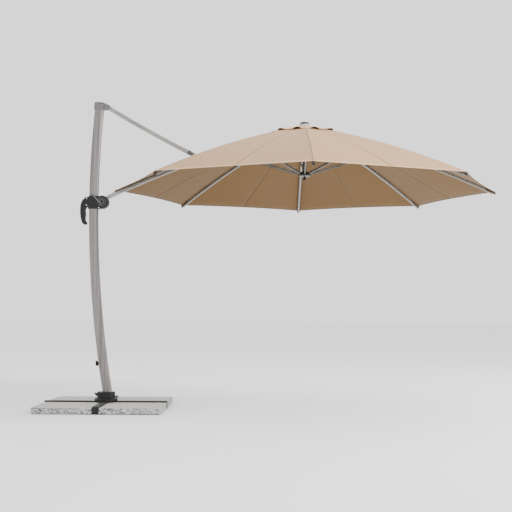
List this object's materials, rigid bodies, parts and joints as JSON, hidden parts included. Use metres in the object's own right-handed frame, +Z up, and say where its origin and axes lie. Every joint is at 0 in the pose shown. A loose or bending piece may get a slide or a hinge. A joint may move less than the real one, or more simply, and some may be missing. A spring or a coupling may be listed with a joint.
{
  "type": "cantilever parasol",
  "caption": "Free-standing cantilever parasol: a curved mast on a slab-weighted cross base, with a strut and arm that carry an octagonal fabric canopy and fold it by a slider on the mast.",
  "frame": {"origin": "centre of the base underside, on the mast's turning axis", "axes": "+X along the arm toward the canopy, +Z up, +Y to the back"},
  "size_m": [3.8884, 3.3152, 2.655],
  "materials": {
    "anodised_aluminium": "satin anodised, warm grey",
    "dark_plastic": "moulded anthracite plastic",
    "black_plastic": "glossy black plastic",
    "grey_plastic": "moulded light grey plastic",
    "steel": "zinc plated",
    "coated_steel": "anthracite powder coat",
    "slab_stone": "exposed-aggregate concrete",
    "canopy_fabric": "woven canopy fabric, natural beige",
    "rib_metal": "grey powder coat"
  },
  "bodies": {
    "base": {"cross_bar_x": "coated_steel", "cross_bar_y": "coated_steel", "cross_end_caps": "dark_plastic", "slab_front_left": "slab_stone", "slab_front_right": "slab_stone", "slab_back_left": "slab_stone", "slab_back_right": "slab_stone", "foot_plate": "coated_steel", "foot_bolts": "steel", "foot_housing": "dark_plastic"},
    "mast": {"turn_hub": "dark_plastic", "mast": "anodised_aluminium", "mast_foot_insert": "dark_plastic", "mast_head": "anodised_aluminium", "head_pin": "steel"},
    "pedal": {"pedal": "dark_plastic"},
    "lock_knob": {"lock_knob": "dark_plastic"},
    "strut": {"strut": "anodised_aluminium", "strut_fork": "dark_plastic", "strut_pin": "steel"},
    "arm": {"arm": "anodised_aluminium", "arm_root": "dark_plastic", "arm_bracket": "steel", "arm_tip": "dark_plastic", "gore_L": "canopy_fabric"},
    "slider": {"slider_shell_front": "dark_plastic", "slider_shell_back": "dark_plastic", "slider_screws": "steel", "arm_hinge_pin": "steel", "handle": "dark_plastic"},
    "clamp_lever": {"clamp_lever": "dark_plastic"},
    "release_trigger": {"release_trigger": "grey_plastic"},
    "crown": {"crown_hub": "dark_plastic", "crown_pins": "steel", "finial": "black_plastic"},
    "runner": {"runner_hub": "dark_plastic", "runner_pins": "steel", "centre_post": "anodised_aluminium"},
    "rib_R": {"rib_R": "rib_metal", "gore_R": "canopy_fabric"},
    "brace_R": {"brace_R": "rib_metal"},
    "rib_BR": {"rib_BR": "rib_metal", "gore_BR": "canopy_fabric"},
    "brace_BR": {"brace_BR": "rib_metal"},
    "rib_B": {"rib_B": "rib_metal", "gore_B": "canopy_fabric"},
    "brace_B": {"brace_B": "rib_metal"},
    "rib_BL": {"rib_BL": "rib_metal", "gore_BL": "canopy_fabric"},
    "brace_BL": {"brace_BL": "rib_metal"},
    "brace_L": {"brace_L": "rib_metal"},
    "rib_FL": {"rib_FL": "rib_metal", "gore_FL": "canopy_fabric"},
    "brace_FL": {"brace_FL": "rib_metal"},
    "rib_F": {"rib_F": "rib_metal", "gore_F": "canopy_fabric"},
    "brace_F": {"brace_F": "rib_metal"},
    "rib_FR": {"rib_FR": "rib_metal", "gore_FR": "canopy_fabric"},
    "brace_FR": {"brace_FR": "rib_metal"}
  },
  "joints": [
    {"name": "mast_turn", "type": "hinge", "parent": "base", "child": "mast", "pos_m": [0, 0, 0.1], "axis": [0, 0, 1], "continuous": true},
    {"name": "pedal_press", "type": "hinge", "parent": "mast", "child": "pedal", "pos_m": [-0.082, 0, 0.118], "axis": [0, -1, 0], "range_deg": [0, 10], "stiffness_Nm_per_rad": 8, "springref_deg": -2.86},
    {"name": "lock_knob_turn", "type": "hinge", "parent": "mast", "child": "lock_knob", "pos_m": [-0.02957, 0, 0.391], "axis": [-0.9892, 0, -0.1468], "range_deg": [-180, 180]},
    {"name": "fold", "type": "hinge", "parent": "mast", "child": "strut", "pos_m": [-0.015, 0, 2.612], "axis": [0, 1, 0], "range_deg": [0, 46]},
    {"name": "elbow", "type": "hinge", "parent": "strut", "child": "arm", "pos_m": [0.743, 0, 2.194], "axis": [0, 1, 0], "range_deg": [-94.12, 0]},
    {"name": "slider_hinge", "type": "hinge", "parent": "arm", "child": "slider", "pos_m": [-0.055, 0, 1.779], "axis": [0, 1, 0], "range_deg": [0, 41.96]},
    {"name": "clamp_lever_turn", "type": "hinge", "parent": "slider", "child": "clamp_lever", "pos_m": [-0.059, -0.045, 1.761], "axis": [0, 1, 0], "range_deg": [0, 60]},
    {"name": "trigger_pull", "type": "hinge", "parent": "slider", "child": "release_trigger", "pos_m": [-0.209, 0, 1.708], "axis": [0, 1, 0], "range_deg": [0, 6], "stiffness_Nm_per_rad": 3, "springref_deg": -2.86},
    {"name": "crown_hinge", "type": "hinge", "parent": "arm", "child": "crown", "pos_m": [1.6568, 0, 2.43321], "axis": [0, 1, 0], "range_deg": [0, 65], "deforming": ["gore_L"]},
    {"name": "rib_R_fold", "type": "hinge", "parent": "crown", "child": "rib_R", "pos_m": [1.7488, 0, 2.43321], "axis": [0, 1, 0], "range_deg": [0, 65], "deforming": ["gore_R"]},
    {"name": "brace_R_fold", "type": "hinge", "parent": "rib_R", "child": "brace_R", "pos_m": [2.41961, 0, 2.23317], "axis": [0, -1, 0], "range_deg": [0, 130]},
    {"name": "rib_BR_fold", "type": "hinge", "parent": "crown", "child": "rib_BR", "pos_m": [1.73533, 0.03253, 2.43321], "axis": [-0.7071, 0.7071, 0], "range_deg": [0, 65], "deforming": ["gore_BR"]},
    {"name": "brace_BR_fold", "type": "hinge", "parent": "rib_BR", "child": "brace_BR", "pos_m": [2.20966, 0.50686, 2.23317], "axis": [0.7071, -0.7071, 0], "range_deg": [0, 130]},
    {"name": "rib_B_fold", "type": "hinge", "parent": "crown", "child": "rib_B", "pos_m": [1.7028, 0.046, 2.43321], "axis": [-1, 0, 0], "range_deg": [0, 65], "deforming": ["gore_B"]},
    {"name": "brace_B_fold", "type": "hinge", "parent": "rib_B", "child": "brace_B", "pos_m": [1.7028, 0.71681, 2.23317], "axis": [1, 0, 0], "range_deg": [0, 130]},
    {"name": "rib_BL_fold", "type": "hinge", "parent": "crown", "child": "rib_BL", "pos_m": [1.67027, 0.03253, 2.43321], "axis": [-0.7071, -0.7071, 0], "range_deg": [0, 65], "deforming": ["gore_BL"]},
    {"name": "brace_BL_fold", "type": "hinge", "parent": "rib_BL", "child": "brace_BL", "pos_m": [1.19594, 0.50686, 2.23317], "axis": [0.7071, 0.7071, 0], "range_deg": [0, 130]},
    {"name": "brace_L_fold", "type": "hinge", "parent": "arm", "child": "brace_L", "pos_m": [0.98599, 0, 2.23317], "axis": [0, 1, 0], "range_deg": [0, 130]},
    {"name": "rib_FL_fold", "type": "hinge", "parent": "crown", "child": "rib_FL", "pos_m": [1.67027, -0.03253, 2.43321], "axis": [0.7071, -0.7071, 0], "range_deg": [0, 65], "deforming": ["gore_FL"]},
    {"name": "brace_FL_fold", "type": "hinge", "parent": "rib_FL", "child": "brace_FL", "pos_m": [1.19594, -0.50686, 2.23317], "axis": [-0.7071, 0.7071, 0], "range_deg": [0, 130]},
    {"name": "rib_F_fold", "type": "hinge", "parent": "crown", "child": "rib_F", "pos_m": [1.7028, -0.046, 2.43321], "axis": [1, 0, 0], "range_deg": [0, 65], "deforming": ["gore_F"]},
    {"name": "brace_F_fold", "type": "hinge", "parent": "rib_F", "child": "brace_F", "pos_m": [1.7028, -0.71681, 2.23317], "axis": [-1, 0, 0], "range_deg": [0, 130]},
    {"name": "rib_FR_fold", "type": "hinge", "parent": "crown", "child": "rib_FR", "pos_m": [1.73533, -0.03253, 2.43321], "axis": [0.7071, 0.7071, 0], "range_deg": [0, 65], "deforming": ["gore_FR"]},
    {"name": "brace_FR_fold", "type": "hinge", "parent": "rib_FR", "child": "brace_FR", "pos_m": [2.20966, -0.50686, 2.23317], "axis": [-0.7071, -0.7071, 0], "range_deg": [0, 130]},
    {"name": "runner_hinge", "type": "hinge", "parent": "brace_R", "child": "runner", "pos_m": [1.7488, 0, 2.03314], "axis": [0, 1, 0], "range_deg": [0, 65]}
  ],
  "couplings": [
    {"joint": "elbow", "follows": "fold", "ratio": -2.046},
    {"joint": "slider_hinge", "follows": "fold", "ratio": 0.9121},
    {"joint": "crown_hinge", "follows": "fold", "ratio": 1.413},
    {"joint": "rib_R_fold", "follows": "fold", "ratio": 1.413},
    {"joint": "brace_R_fold", "follows": "fold", "ratio": 2.8261},
    {"joint": "rib_BR_fold", "follows": "fold", "ratio": 1.413},
    {"joint": "brace_BR_fold", "follows": "fold", "ratio": 2.8261},
    {"joint": "rib_B_fold", "follows": "fold", "ratio": 1.413},
    {"joint": "brace_B_fold", "follows": "fold", "ratio": 2.8261},
    {"joint": "rib_BL_fold", "follows": "fold", "ratio": 1.413},
    {"joint": "brace_BL_fold", "follows": "fold", "ratio": 2.8261},
    {"joint": "brace_L_fold", "follows": "fold", "ratio": 2.8261},
    {"joint": "rib_FL_fold", "follows": "fold", "ratio": 1.413},
    {"joint": "brace_FL_fold", "follows": "fold", "ratio": 2.8261},
    {"joint": "rib_F_fold", "follows": "fold", "ratio": 1.413},
    {"joint": "brace_F_fold", "follows": "fold", "ratio": 2.8261},
    {"joint": "rib_FR_fold", "follows": "fold", "ratio": 1.413},
    {"joint": "brace_FR_fold", "follows": "fold", "ratio": 2.8261},
    {"joint": "runner_hinge", "follows": "fold", "ratio": 1.413}
  ]
}
